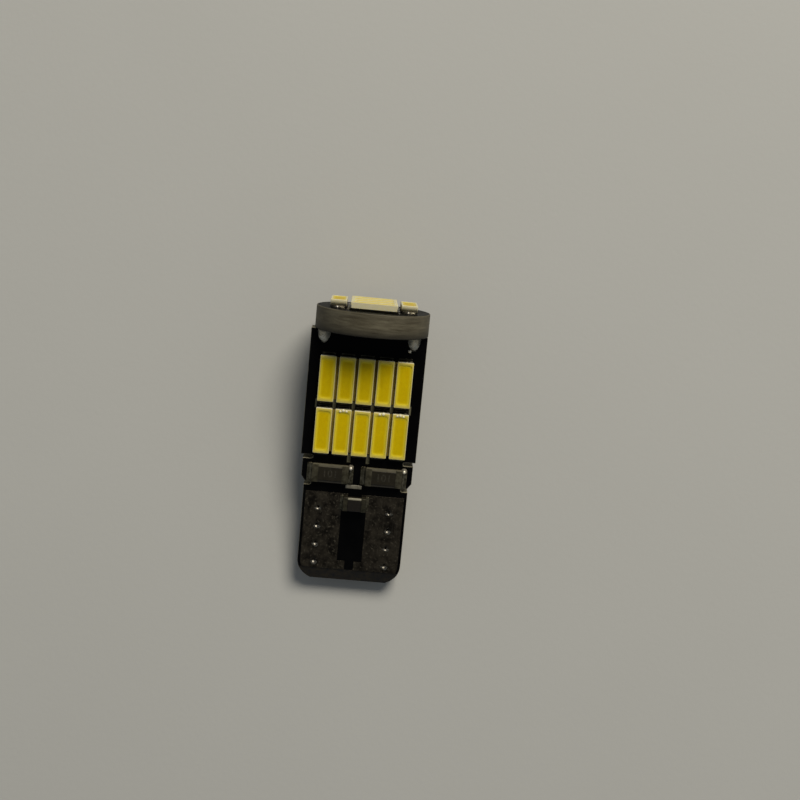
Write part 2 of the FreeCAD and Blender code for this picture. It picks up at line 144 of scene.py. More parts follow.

# Loose solder beads on the front, pale as painted highlights: places across and along it, radii
# and heights
BEADS = ((-0.58, 10.46, 0.25, 0.6), (4.11, 10.54, 0.25, 0.6), (3.6, 21.2, 0.17, 0.3))
# Pale specks on the ends of LEDs: places across and along it, and radii
LED_SPECKS = (
    (-1.68, 15.6, 0.13), (-1.4, 15.55, 0.1), (-1.94, 15.5, 0.1),
    (1.82, 15.6, 0.14), (1.5, 15.54, 0.11),
    (3.3, 15.6, 0.14), (3.58, 15.52, 0.1), (3.04, 15.54, 0.1),
)
LED_SPECK_RISE = 0.5
SIDE_BEAD_SHIFT = (-0.1, -0.12)
SIDE_BEAD = (0.22, 0.26)
DOME_LEVELS = 6
DOME_STEPS = 16

# Bare pad between the resistors and the capacitor: its left end, length and width
PAD_START = (-0.9, 8.73)
PAD_LENGTH = 1.42
PAD_WIDTH = 0.34

# Camera, in millimetres and degrees
CAMERA_PLACE = (-1.068, 2.548, 109.545)
CAMERA_TURN = (0.466, -2.344, 5.116)
CAMERA_LENS = 54
CAMERA_SENSOR = 36

# Table top, key light and room, in metres and watts
TABLE_REACH = 0.6
KEY_PLACE = (0.146, 0.402, 0.42)
KEY_SIZE = 0.29
KEY_POWER = 4.2
KEY_COLOUR = (1.0, 0.965, 0.905)
HORIZON = (0.47, 0.52, 0.60, 1)
OVERHEAD = (0.062, 0.07, 0.082, 1)


# Frames of the faces, from the record's mounts

mounts = {mount["name"]: mount for mount in frame["record"]["mounts"]}
along = -Vector(mounts["wedge_base"]["axis"])
out = Vector(mounts["contact_left_front"]["axis"])
axes = Matrix((along.cross(out), along, out)).transposed().to_4x4()
FRONT = Matrix.Translation(mounts["wedge_base"]["pos_m"]) @ axes
BACK = FRONT @ Matrix.Rotation(math.pi, 4, "Y")
TOP = FRONT @ Matrix.Rotation(-math.pi / 2, 4, "X")
ALONG = Matrix.Rotation(math.pi / 2, 4, "Z")


def moved(across=0.0, up=0.0, out_of=0.0):
    return Matrix.Translation((across * MM, up * MM, out_of * MM))


def extent(node, place):
    """Lowest and highest corner of a CAD node along a frame's own axes, in millimetres."""
    inward = place.inverted()
    points = [inward @ vertex.co / MM for vertex in frame["nodes"][node].data.vertices]
    low = Vector(min(point[axis] for point in points) for axis in range(3))
    high = Vector(max(point[axis] for point in points) for axis in range(3))
    return low, high


def surface_of(node, place):
    return extent(node, place)[1].z


def nodes_named(start):
    return sorted(name for name in frame["nodes"] if name.startswith(start))


# Node trees of the materials

class Finish:
    """Node tree of one material, with a short call for each kind of node used here."""

    def __init__(self, name, **sockets):
        self.material = bpy.data.materials.new(name)
        self.material.use_nodes = True
        self.tree = self.material.node_tree
        self.shader = self.tree.nodes["Principled BSDF"]
        for socket, value in sockets.items():
            self.set(socket.replace("_", " "), value)

    def set(self, socket, value):
        self.feed(self.shader.inputs[socket], value)

    def feed(self, socket, value):
        if isinstance(value, bpy.types.NodeSocket):
            self.tree.links.new(value, socket)
        else:
            socket.default_value = value

    def node(self, kind, sockets, **settings):
        node = self.tree.nodes.new(kind)
        for name, value in settings.items():
            setattr(node, name, value)
        for socket, value in sockets.items():
            self.feed(node.inputs[socket], value)
        return node

    def place(self, stretch=(1, 1, 1)):
        """Point in the bulb's frame, in millimetres, stretched for grain that runs one way."""
        coordinates = self.node("ShaderNodeTexCoord", {})
        sockets = {
            "Vector": coordinates.outputs["Object"],
            "Location": FRONT.translation,
            "Rotation": FRONT.to_euler(),
            "Scale": tuple(MM / share for share in stretch),
        }
        return self.node("ShaderNodeMapping", sockets, vector_type="TEXTURE").outputs["Vector"]

    def speckle(self, size, detail=4.0, roughness=0.55, stretch=(1, 1, 1)):
        """Cloudy noise, from 0 to 1, of the given size in millimetres."""
        sockets = {"Vector": self.place(stretch), "Scale": 1 / size, "Detail": detail,
                   "Roughness": roughness}
        return self.node("ShaderNodeTexNoise", sockets).outputs["Fac"]

    def cells(self, size):
        sockets = {"Vector": self.place(), "Scale": 1 / size}
        return self.node("ShaderNodeTexVoronoi", sockets).outputs["Distance"]

    def spread(self, fac, low, high, least=0.0, most=1.0):
        sockets = {"Value": fac, "From Min": low, "From Max": high,
                   "To Min": least, "To Max": most}
        return self.node("ShaderNodeMapRange", sockets).outputs["Result"]

    def blend(self, fac, first, second):
        node = self.node("ShaderNodeMix", {"Factor": fac}, data_type="RGBA")
        self.feed(node.inputs[6], first)
        self.feed(node.inputs[7], second)
        return node.outputs[2]

    def maths(self, operation, *values):
        node = self.node("ShaderNodeMath", {}, operation=operation)
        for socket, value in zip(node.inputs, values):
            self.feed(socket, value)
        return node.outputs["Value"]

    def spot(self):
        return self.node("ShaderNodeSeparateXYZ", {"Vector": self.place()}).outputs

    def glow(self):
        """Share of the painted light round a window, stored on the mesh: the phosphor's yellow on
        a rim, the paler edge of the resin.
        """
        window = self.node("ShaderNodeUVMap", {}, uv_map="window")
        return self.node("ShaderNodeSeparateXYZ", {"Vector": window.outputs["UV"]}).outputs["X"]

    def near(self, axis, middle, reach):
        """1 within reach of a level on one axis of the bulb's frame, 0 beyond it."""
        distance = self.maths("ABSOLUTE", self.maths("SUBTRACT", self.spot()[axis], middle))
        return self.spread(distance, reach, reach - SOFT_EDGE)

    def between_leds(self):
        """1 on the strips of board between the columns of a row of LEDs, 0 elsewhere."""
        rows = [self.near("Y", middle, ROW_REACH) for middle in LED_ROWS]
        return self.maths("MULTIPLY", self.near("X", 0, FIELD_REACH), self.maths("ADD", *rows))

    def tracks(self):
        """1 on the short tracks at the ends of those strips, 0 elsewhere."""
        shifted = self.maths("ADD", self.spot()["X"], LED_PITCH / 2)
        aside = self.maths("PINGPONG", shifted, LED_PITCH / 2)
        lines = self.spread(aside, TRACK_HALF_WIDTH + SOFT_EDGE, TRACK_HALF_WIDTH)
        rows = [self.maths("MULTIPLY", self.near("X", 0, reach),
                           self.near("Y", middle, TRACK_REACH))
                for middle, reach in TRACK_ROWS]
        return self.maths("MULTIPLY", lines, self.maths("ADD", *rows))

    def bump(self, height, distance, normal=None):
        sockets = {"Height": height, "Distance": distance * MM}
        if normal:
            sockets["Normal"] = normal
        return self.node("ShaderNodeBump", sockets).outputs["Normal"]

    def surface(self, colour, mottle, roughness, normal=None):
        """The material, with a roughness that varies over its range as a mottle does."""
        self.set("Base Color", colour)
        self.set("Roughness", self.spread(mottle, 0.3, 0.7, *roughness))
        if normal:
            self.set("Normal", normal)
        return self.material


def shade(red, green, blue):
    """Colour given as the 0 to 255 values that a picture shows, as linear light."""
    return tuple((value / 255) ** 2.2 for value in (red, green, blue)) + (1.0,)


# Materials

def mask_finish():
    """Black solder mask: satin, orange-peeled, a little dusty, with the LEDs' yellow light painted
    between them.
    """
    finish = Finish("solder_mask", Specular_IOR_Level=0.06)
    cloud = finish.speckle(1.6)
    grain = finish.speckle(0.09)
    dust = finish.spread(finish.speckle(0.14, detail=2.0), 0.7, 0.82, 0.0, 0.15)
    black = finish.blend(cloud, shade(2, 2, 3), shade(8, 7, 6))
    dusty = finish.blend(dust, black, shade(60, 56, 50))
    traced = finish.blend(finish.tracks(), dusty, shade(96, 92, 72))
    # Painted light: the LEDs' yellow light on the board between their columns
    colour = finish.blend(finish.between_leds(), traced, shade(156, 134, 62))
    peel = finish.bump(grain, 0.004)
    return finish.surface(colour, cloud, (0.4, 0.55), finish.bump(cloud, 0.02, normal=peel))


def laminate_finish(name, light, dark, layers, shaded_from=None):
    """Cut edge of glass-epoxy laminate: resin and layers of glass cloth that run round it."""
    finish = Finish(name, Specular_IOR_Level=0.2)
    streaks = finish.speckle(0.26, detail=5.0, roughness=0.65, stretch=layers)
    cloud = finish.speckle(1.4)
    fibres = finish.speckle(0.07, detail=3.0)
    chips = finish.cells(0.12)
    tone = finish.blend(finish.spread(streaks, 0.35, 0.65), dark, light)
    tone = finish.blend(finish.spread(fibres, 0.55, 0.75, 0.0, 0.35), tone, light)
    tone = finish.blend(finish.spread(cloud, 0.4, 0.75, 0.0, 0.5), tone, dark)
    # Painted shade: darker towards the given level along the bulb, the round board's face towards
    # the base end
    if shaded_from:
        unshaded = finish.spread(finish.spot()["Y"], shaded_from - 0.1, shaded_from + 0.9)
        tone = finish.blend(unshaded, shade(20, 18, 12), tone)
    rough = finish.bump(chips, 0.006)
    return finish.surface(tone, streaks, (0.5, 0.75), finish.bump(streaks, 0.02, normal=rough))


def tinned_finish():
    """Hot-tinned copper, dulled by handling: uneven, with fine scratches from the socket and
    painted glints.
    """
    finish = Finish("dull_tin", Metallic=0.6, Specular_IOR_Level=0.2)
    cloud = finish.speckle(0.8, detail=6.0)
    grain = finish.speckle(0.1)
    painted_glints = finish.speckle(0.22, detail=5.0, roughness=0.7)
    scratches = finish.speckle(0.16, detail=3.0, stretch=(1, 0.06, 1))
    tone = finish.blend(finish.spread(cloud, 0.36, 0.64), shade(26, 23, 18), shade(56, 51, 42))
    # Bright specks: painted glints on the tin
    tone = finish.blend(finish.spread(painted_glints, 0.56, 0.68, 0.0, 0.7), tone, shade(96, 89, 74))
    tone = finish.blend(finish.spread(scratches, 0.6, 0.7, 0.0, 0.2), tone, shade(84, 78, 66))
    ripple = finish.bump(cloud, 0.05)
    return finish.surface(tone, grain, (0.3, 0.46), finish.bump(grain, 0.008, normal=ripple))


def solder_finish(name, dark, light, sheen, metal=0.9):
    """Smooth solder with the faint frosting that it sets with, and a brown trace of flux."""
    finish = Finish(name, Metallic=metal, Specular_IOR_Level=0.4)
    cloud = finish.speckle(0.5)
    flux = finish.spread(finish.speckle(0.3), 0.5, 0.7, 0.0, 0.6)
    frost = finish.speckle(0.06, detail=2.0)
    tone = finish.blend(flux, finish.blend(cloud, dark, light), dark)
    return finish.surface(tone, cloud, (sheen, sheen + 0.15), finish.bump(frost, 0.003))


def land_finish():
    """Tinned lands and fillets under brown flux, duller than bare solder."""
    finish = Finish("fluxed_solder", Metallic=0.8, Specular_IOR_Level=0.4)
    cloud = finish.speckle(0.35)
    frost = finish.speckle(0.06, detail=2.0)
    tone = finish.blend(finish.spread(cloud, 0.35, 0.7), shade(56, 51, 37), shade(100, 95, 78))
    return finish.surface(tone, cloud, (0.22, 0.42), finish.bump(frost, 0.004))


def lead_finish():
    """Silver-plated lead frame of the LEDs."""
    finish = Finish("silver_plating", Metallic=1.0)
    cloud = finish.speckle(0.2)
    rolled = finish.speckle(0.05, stretch=(0.1, 1, 1))
    tone = finish.blend(cloud, shade(62, 58, 48), shade(90, 85, 72))
    return finish.surface(tone, rolled, (0.24, 0.4), finish.bump(rolled, 0.003))


def plating_finish(name, dark, light):
    """Matt tin plating of the chip ends, brown where flux was left."""
    finish = Finish(name, Metallic=0.6, Specular_IOR_Level=0.4)
    cloud = finish.speckle(0.4)
    grain = finish.speckle(0.04)
    tone = finish.blend(finish.spread(cloud, 0.35, 0.7), dark, light)
    return finish.surface(tone, grain, (0.36, 0.55), finish.bump(grain, 0.004))


def housing_finish(name, walls, rims):
    """Warm white moulded plastic that lets a little light through, with the phosphor's yellow
    light painted on its rims.
    """
    finish = Finish(name, Subsurface_Weight=0.3, Subsurface_Radius=(0.4, 0.32, 0.14),
                    Subsurface_Scale=0.4 * MM, Specular_IOR_Level=0.3)
    cloud = finish.speckle(0.7)
    grain = finish.speckle(0.05)
    tone = finish.blend(finish.glow(), finish.blend(cloud, *walls), finish.blend(cloud, *rims))
    return finish.surface(tone, grain, (0.42, 0.58), finish.bump(grain, 0.003))


def phosphor_finish(name, dark, light, edge):
    """Phosphor in silicone: deep yellow in the middle, paler where the white walls light it."""
    finish = Finish(name, Specular_IOR_Level=0.1, Subsurface_Weight=0.15,
                    Subsurface_Radius=(0.3, 0.2, 0.02), Subsurface_Scale=0.3 * MM)
    grain = finish.speckle(0.035, detail=3.0)
    cloud = finish.speckle(0.45)
    middle = finish.blend(finish.spread(grain, 0.3, 0.7), dark, light)
    body = finish.blend(finish.spread(cloud, 0.4, 0.7, 0.0, 0.5), middle, light)
    tone = finish.blend(finish.glow(), body, edge)
    ripple = finish.bump(cloud, 0.01)
    return finish.surface(tone, grain, (0.3, 0.44), finish.bump(grain, 0.003, normal=ripple))


def ceramic_finish():
    """Fired white ceramic, with painted shade that darkens it towards the base end."""
    finish = Finish("white_ceramic", Specular_IOR_Level=0.3)
    cloud = finish.speckle(0.4)
    grain = finish.speckle(0.06)
    pale = finish.blend(cloud, shade(66, 61, 46), shade(98, 92, 74))
    # Painted shade: the ceramic darkens from its far end towards the base end
    shaded_tone = finish.blend(cloud, shade(26, 24, 17), shade(44, 40, 30))
    low, high = extent("resistor_front_left", FRONT)
    unshaded = finish.spread(finish.spot()["Y"], low.y + 0.2, high.y - 0.6)
    tone = finish.blend(unshaded, shaded_tone, pale)
    return finish.surface(tone, grain, (0.5, 0.7), finish.bump(grain, 0.006))


def overcoat_finish():
    """Black glass overcoat of the resistors."""
    finish = Finish("black_overcoat", Specular_IOR_Level=0.2)
    cloud = finish.speckle(0.5)
    grain = finish.speckle(0.05)
    tone = finish.blend(cloud, shade(28, 25, 18), shade(44, 40, 31))
    return finish.surface(tone, grain, (0.3, 0.42), finish.bump(cloud, 0.012))


def marking_finish():
    """Worn grey ink of the resistors' value."""
    finish = Finish("value_ink", Specular_IOR_Level=0.2)
    wear = finish.speckle(0.12)
    tone = finish.blend(finish.spread(wear, 0.35, 0.65), shade(28, 26, 20), shade(60, 56, 46))
    return finish.surface(tone, wear, (0.5, 0.7))


def capacitor_finish():
    """Dark brown fired ceramic of the capacitor, with a painted highlight along its upper edge."""
    finish = Finish("brown_ceramic", Specular_IOR_Level=0.3)
    cloud = finish.speckle(0.3)
    grain = finish.speckle(0.04)
    brown = finish.blend(cloud, shade(20, 17, 12), shade(34, 29, 21))
    spot = finish.spot()
    corner = extent("capacitor_body", FRONT)[1]
    # Painted highlight: a pale band along the upper edge at the far end
    far_end = finish.spread(spot["Y"], corner.y - 0.17, corner.y - 0.12)
    upper = finish.spread(spot["Z"], corner.z - 0.2, corner.z - 0.12, 0.0, 0.85)
    tone = finish.blend(finish.maths("MULTIPLY", far_end, upper), brown, shade(140, 134, 112))
    return finish.surface(tone, grain, (0.34, 0.5), finish.bump(grain, 0.005))


def table_finish():
    """Pale matt table top."""
    finish = Finish("pale_surface", Specular_IOR_Level=0.1)
    cloud = finish.speckle(30)
    grain = finish.speckle(0.5)
    tone = finish.blend(cloud, shade(160, 158, 150), shade(164, 162, 154))
    return finish.surface(tone, grain, (0.75, 0.85), finish.bump(grain, 0.01))


MASK = mask_finish()
FLAT_EDGE = laminate_finish("flat_laminate", shade(150, 143, 120), shade(84, 78, 60),
                            (0.12, 0.12, 1))
# Darker copy of the laminate for the sloping faces of the base: painted shade
SHADED_BEVEL_EDGE = laminate_finish("shaded_laminate", shade(44, 38, 26), shade(10, 8, 4), (0.5, 0.5, 1))
# The round board's rim gets painted shade towards the base end
ROUND_EDGE = laminate_finish("round_laminate", shade(90, 84, 67), shade(62, 56, 42),
                             (0.12, 1, 0.12), extent("round_board", FRONT)[0].y)
TIN = tinned_finish()
# Brighter copy of the tin for painted highlights and glints
HIGHLIGHT_TIN = solder_finish("highlight_tin", shade(84, 79, 68), shade(132, 127, 116), 0.28)
SOLDER = solder_finish("solder", shade(120, 114, 98), shade(178, 172, 152), 0.2, 0.6)
# Darker copy of the solder for the LEDs: painted shade for the dark surroundings that it reflects
SHADED_LED_SOLDER = solder_finish("shaded_led_solder", shade(34, 31, 24), shade(72, 68, 56), 0.14)
# Pale solder for the beads: painted highlights
GLINT_SOLDER = solder_finish("solder_painted_glint", shade(206, 194, 166), shade(242, 232, 208), 0.36)
PALE_SPECK_FINISH = solder_finish("pale_speck_domes", shade(198, 186, 140), shade(244, 234, 198), 0.5, 0.0)
PAD = solder_finish("pad_solder", shade(72, 68, 56), shade(140, 134, 116), 0.3, 0.3)
LAND = land_finish()
LEAD = lead_finish()
PLATING = plating_finish("chip_plating", shade(52, 48, 34), shade(82, 77, 61))
DARK_PLATING = plating_finish("dark_plating", shade(36, 33, 23), shade(66, 62, 47))
# Rims in the phosphor's yellow: painted light
MOULDING = housing_finish("white_moulding", (shade(194, 184, 146), shade(210, 202, 168)),
                          (shade(176, 156, 36), shade(190, 171, 52)))
# Darker copies of the housing and phosphor for the LEDs on the round board: painted shade
SHADED_TOP_MOULDING = housing_finish("shaded_top_moulding", (shade(176, 167, 130), shade(190, 182, 148)),
                              (shade(172, 162, 120), shade(188, 179, 140)))
PHOSPHOR = phosphor_finish("phosphor", shade(173, 144, 0), shade(193, 165, 1), shade(203, 184, 48))
SHADED_TOP_PHOSPHOR = phosphor_finish("shaded_top_phosphor", shade(164, 138, 22), shade(180, 154, 38),
                               shade(190, 174, 88))
CERAMIC = ceramic_finish()
OVERCOAT = overcoat_finish()
INK = marking_finish()
BROWN = capacitor_finish()


# Meshes

def linked(name, data):
    """New object of the scene that shows a mesh, a light or a camera."""
    item = bpy.data.objects.new(name, data)
    bpy.context.collection.objects.link(item)
    return item


def mesh_data(name, mesh):
    data = bpy.data.meshes.new(name)
    mesh.normal_update()
    mesh.to_mesh(data)
    mesh.free()
    return data


def finished(name, mesh, place, slot, stands_for, *materials):
    """Piece of the bulb from a mesh in millimetres that lies in the frame place.

    Its flat faces stay flat and its bevels shade smoothly.
    """
    data = mesh_data(name, mesh)
    data.transform(place @ Matrix.Scale(MM, 4))
    for material in materials:
        data.materials.append(material)
    piece = linked(name, data)
    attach(piece, "root")
    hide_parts(*stands_for)
    for polygon in data.polygons:
        polygon.use_smooth = True
    piece.modifiers.new("weighted", "WEIGHTED_NORMAL").keep_sharp = True


def copied(node, place):
    """Clean copy of a CAD node's solids, in millimetres along the frame's own axes."""
    mesh = bmesh.new()
    mesh.from_mesh(frame["nodes"][node].data)
    mesh.transform(Matrix.Scale(1 / MM, 4) @ place.inverted())
    bmesh.ops.remove_doubles(mesh, verts=mesh.verts, dist=MERGE)
    bmesh.ops.dissolve_limit(mesh, angle_limit=math.radians(FLAT_ANGLE), verts=mesh.verts,
                             edges=mesh.edges)
    return mesh


def rounded_off(mesh, width):
    """Bevel of the given width along each edge where two faces meet at an angle."""
    least = math.radians(SHARP_ANGLE)
    corners = [edge for edge in mesh.edges if edge.is_manifold and edge.calc_face_angle() > least]
    bmesh.ops.bevel(mesh, geom=corners, offset=width, segments=EDGE_STEPS, profile=0.6,
                    affect="EDGES", clamp_overlap=True)
    return mesh


def refined(name, node, place, slot, width, material):
    """A CAD node again, with its edges rounded off."""
    finished(name, rounded_off(copied(node, place), width), place, slot, [node], material)


def ring(mesh, length, width, corner, height, middle=(0.0, 0.0), steps=6):
    """Rounded rectangle of vertices, its length along X."""
    vertices = []
    for quarter, (sign_x, sign_y) in enumerate(((1, 1), (-1, 1), (-1, -1), (1, -1))):
        centre_x = middle[0] + sign_x * (length / 2 - corner)
        centre_y = middle[1] + sign_y * (width / 2 - corner)
        for step in range(steps + 1):
            turn = math.pi / 2 * (quarter + step / steps)
            spot = (centre_x + corner * math.cos(turn), centre_y + corner * math.sin(turn), height)
            vertices.append(mesh.verts.new(spot))
    return vertices


def skin(mesh, lower, upper):
    """Faces between two rings of as many vertices."""
    for index in range(len(lower)):
        following = (index + 1) % len(lower)
        mesh.faces.new((lower[index], lower[following], upper[following], upper[index]))


def lofted(mesh, rings):
    """Closed skin through a row of rings."""
    for lower, upper in zip(rings, rings[1:]):
        skin(mesh, lower, upper)
    mesh.faces.new(list(reversed(rings[0])))
    mesh.faces.new(rings[-1])


def solid_of(mesh):
    """Merges what meets in a point and turns the faces outward."""
    bmesh.ops.remove_doubles(mesh, verts=mesh.verts, dist=MERGE)
    bmesh.ops.dissolve_degenerate(mesh, edges=mesh.edges, dist=MERGE)
    bmesh.ops.recalc_face_normals(mesh, faces=mesh.faces)
    return mesh


# Solder

def fillet(mesh, place, half_width, reach, rise, bulge=3.0, hollow=1.7, wobble=0.0, steps=14):
    """Solder drawn up a wall at X = 0: a hollow slope whose foot rounds off at both ends."""
    columns = []
    for column in range(steps + 1):
        share = -math.cos(math.pi * column / steps)
        swell = max(0.0, 1 - abs(share) ** bulge) ** (1 / bulge)
        swell *= 1 + wobble * noise.noise(place.translation + Vector((share, 0, 0)))
        spots = [Vector((0, share * half_width, 0))]
        for level in range(FILLET_LEVELS + 1):
            climb = level / FILLET_LEVELS
            along_floor = reach * swell * (1 - climb) ** hollow
            up_wall = rise * swell * climb ** hollow
            spots.append(Vector((along_floor, share * half_width, up_wall)))
        columns.append([mesh.verts.new(place @ spot) for spot in spots])
    for left, right in zip(columns, columns[1:]):
        skin(mesh, left, right)


def land(mesh, place, length, width):
    """Thin tinned land of the board, from X = 0 outward."""
    middle = (length / 2, 0)
    foot, top = LAND_CORNERS
    shoulder = LAND_THICKNESS * LAND_SHOULDER
    rings = [
        ring(mesh, length, width, foot, 0.0, middle, steps=3),
        ring(mesh, length, width, foot, shoulder, middle, steps=3),
        ring(mesh, length - LAND_ROUND, width - LAND_ROUND, top, LAND_THICKNESS, middle, steps=3),
    ]
    lofted(mesh, rings)
    added = [vertex for level in rings for vertex in level]
    bmesh.ops.transform(mesh, matrix=place, verts=added)


def chip_ends(low, high):
    """Frames, in millimetres, at the foot of a chip's two end walls, X pointing away from it."""
    middle = (low + high) / 2
    foot = Matrix.Translation((middle.x, middle.y, low.z))
    wall = Matrix.Translation(((high.x - low.x) / 2, 0, 0))
    return [foot @ Matrix.Rotation(turn, 4, "Z") @ wall for turn in (0, math.pi)]


def chip_solder(name, node, chips, place, reach, rise):
    """Lands of the board under the ends of chips, with the solder drawn up the ends."""
    mesh = bmesh.new()
    for low, high in chips:
        width = high.y - low.y
        for end in chip_ends(low, high):
            land(mesh, end, reach + LAND_MARGIN, width + LAND_MARGIN)
            fillet(mesh, end, width / 2, reach, rise, bulge=4.0, wobble=0.2)
    finished(name, solid_of(mesh), place, "solder", [node], LAND)


def corner_joint(face, side, place):
    """Solder in the corner between the two boards."""
    node = f"corner_joint_{face}_{side}"
    low, high = extent(node, place)
    middle = (low + high) / 2
    size = high - low
    corner = Matrix.Translation((middle.x, high.y, low.z))
    mesh = bmesh.new()
    fillet(mesh, corner @ Matrix.Rotation(-math.pi / 2, 4, "Z"), size.x / 2, size.y, size.z,
           bulge=2.4, hollow=1.3, wobble=0.25, steps=24)
    finished(f"joint_{face}_{side}", solid_of(mesh), place, "solder", [node], SOLDER)


def dome(mesh, centre, radius, height):
    """Round bead of solder that sits on the surface at its centre."""
    rings = []
    for level in range(DOME_LEVELS):
        climb = math.pi / 2 * level / DOME_LEVELS
        reach = radius * math.cos(climb)
        rise = height * math.sin(climb)
        turns = [2 * math.pi * step / DOME_STEPS for step in range(DOME_STEPS)]
        spots = [Vector((reach * math.cos(turn), reach * math.sin(turn), rise)) for turn in turns]
        rings.append([mesh.verts.new(centre + spot) for spot in spots])
    lofted(mesh, rings)


def front_beads():
    """Beads at the resistors' corners and on a joint of the boards, pale all over as painted
    highlights.
    """
    mesh = bmesh.new()
    surface = surface_of("flat_board", FRONT)
    for across, up, radius, height in BEADS:
        dome(mesh, Vector((across, up, surface)), radius, height)
    finished("solder_beads", mesh, FRONT, "solder", [], GLINT_SOLDER)


def side_beads():
    """Round beads in front of the two side LEDs of the round board, in brighter tin as painted
    glints.
    """
    mesh = bmesh.new()
    for node in nodes_named("led_top_side_"):
        low, high = extent(node, TOP)
        across, up = SIDE_BEAD_SHIFT
        centre = Vector(((low.x + high.x) / 2 + across, low.y + up, low.z))
        dome(mesh, centre, *SIDE_BEAD)
    finished("side_beads", mesh, TOP, "solder", [], HIGHLIGHT_TIN)


def pale_specks():
    """Rough pale domes on the ends of three LEDs."""
    mesh = bmesh.new()
    top = surface_of("led_front_lower_1", FRONT)
    for across, up, radius in LED_SPECKS:
        dome(mesh, Vector((across, up, top)), radius, radius * LED_SPECK_RISE)
    finished("pale_speck_domes", mesh, FRONT, "solder", [], PALE_SPECK_FINISH)


def bare_pad():
    mesh = bmesh.new()
    place = Matrix.Translation((*PAD_START, surface_of("flat_board", FRONT)))
    land(mesh, place, PAD_LENGTH, PAD_WIDTH)
    finished("bare_pad", mesh, FRONT, "solder", [], PAD)


# LEDs

def paint_window(mesh, glow, elsewhere):
    """Writes what each vertex glows with as U of the UV map window."""
    layer = mesh.loops.layers.uv.new("window")
    for face in mesh.faces:
        for loop in face.loops:
            loop[layer].uv = (glow.get(loop.vert, elsewhere), 0.0)


def window_size(length, width):
    return length - 2 * END_WALL, width - 2 * SIDE_WALL


def led_housing(node, place, finish):
    """White moulding with rounded edges and a cup with sloping walls for the resin."""
    low, high = extent(node, place)
    length, width, height = high - low
    window_length, window_width = window_size(length, width)
    step = length - 2 * TERMINAL_STEP
    shoulder = height - RIM_ROUND
    floor_inset = CUP_DEPTH * CUP_SLOPE
    mesh = bmesh.new()
    rings = [
        ring(mesh, step, width, HOUSING_CORNER, 0.0),
        ring(mesh, step, width, HOUSING_CORNER, TERMINAL_THICKNESS),
        ring(mesh, length, width, HOUSING_CORNER, TERMINAL_THICKNESS),
        ring(mesh, length, width, HOUSING_CORNER, shoulder),
        ring(mesh, length - 2 * RIM_BEND, width - 2 * RIM_BEND, HOUSING_CORNER, height - RIM_BEND),
        ring(mesh, length - 2 * RIM_ROUND, width - 2 * RIM_ROUND, HOUSING_CORNER, height),
        ring(mesh, window_length + 2 * RIM_ROUND, window_width + 2 * RIM_ROUND,
             WINDOW_CORNER + RIM_ROUND, height),
        ring(mesh, window_length + 2 * RIM_BEND, window_width + 2 * RIM_BEND,
             WINDOW_CORNER + RIM_BEND, height - RIM_BEND),
        ring(mesh, window_length, window_width, WINDOW_CORNER, shoulder),
        ring(mesh, window_length - 2 * floor_inset, window_width - 2 * floor_inset,
             WINDOW_CORNER - floor_inset, height - CUP_DEPTH),
    ]
    lofted(mesh, rings)
    inner = rings[-len(RIM_GLOW):]
    glow = {vertex: share for share, level in zip(RIM_GLOW, inner) for vertex in level}
    paint_window(mesh, glow, 0.0)
    middle = (low + high) / 2
    spot = place @ moved(middle.x, middle.y, low.z)
    finished(node.replace("led_", "moulding_"), mesh, spot, "led_housing", [node], finish)


def resin_pool(mesh, node, place):
    """Surface of the resin in one cup, drawn up a little at the walls, and where it glows."""
    low, high = extent(node, place)
    length, width, height = high - low
    middle = ((low + high) / 2).xy
    window_length, window_width = window_size(length, width)
    rings = []
    glow = {}
    for share in RESIN_SHARES:
        level = low.z + height - RESIN_DROP - RESIN_SINK * (1 - share ** 6)
        inset = (1 - share) * window_width
        spots = ring(mesh, window_length - inset, window_width - inset, WINDOW_CORNER * share,
                     level, middle, RESIN_STEPS)
        rings.append(spots)
        edge_glow = max(0.0, (share - GLOW_START) / (1 - GLOW_START)) ** 1.5
        glow.update((vertex, edge_glow) for vertex in spots)
    floor = low.z + height - RESIN_UNDER
    under = ring(mesh, window_length - 2 * RESIN_UNDER_INSET, window_width - 2 * RESIN_UNDER_INSET,
                 WINDOW_CORNER - RESIN_UNDER_INSET, floor, middle, RESIN_STEPS)
    lofted(mesh, [under] + rings)
    return glow


def resin(group, place, nodes, finish):
    mesh = bmesh.new()
    glow = {}
    for node in nodes:
        glow.update(resin_pool(mesh, node, place))
    paint_window(mesh, glow, 1.0)
    finished(f"resin_{group}", mesh, place, "phosphor", [f"phosphor_{group}"], finish)


def led_fillets(group, place, nodes):
    """Solder at both ends of each LED, between its terminal and the board's land."""
    mesh = bmesh.new()
    for node in nodes:
        low, high = extent(node, place)
        half_width = (high.y - low.y) / 2 - TERMINAL_INSET
        for end in chip_ends(low, high):
            wall = end @ Matrix.Translation((TERMINAL_OVERHANG, 0, 0))
            land(mesh, wall, LED_LAND, 2 * half_width)
            rise = TERMINAL_THICKNESS * random.uniform(*LED_SOLDER_RISE)
            across = half_width * random.uniform(*LED_SOLDER_WIDTH)
            reach = random.uniform(*LED_SOLDER_REACH)
            fillet(mesh, wall, across, reach, rise, hollow=1.4, wobble=0.15)
    # The fillets take the darker solder: painted shade
    finished(f"fillets_{group}", solid_of(mesh), place, "solder", [f"led_solder_{group}"],
             SHADED_LED_SOLDER)


def led_group(group, place, moulding, phosphor):
    nodes = [node for node in nodes_named(f"led_{group}") if node[-1].isdigit()]
    for node in nodes:
        led_housing(node, place, moulding)
    resin(group, place, nodes, phosphor)
    refined(f"leads_{group}", f"led_terminals_{group}", place, "terminal", PLATE_EDGE, LEAD)
    led_fillets(group, place, nodes)


# Boards and contacts

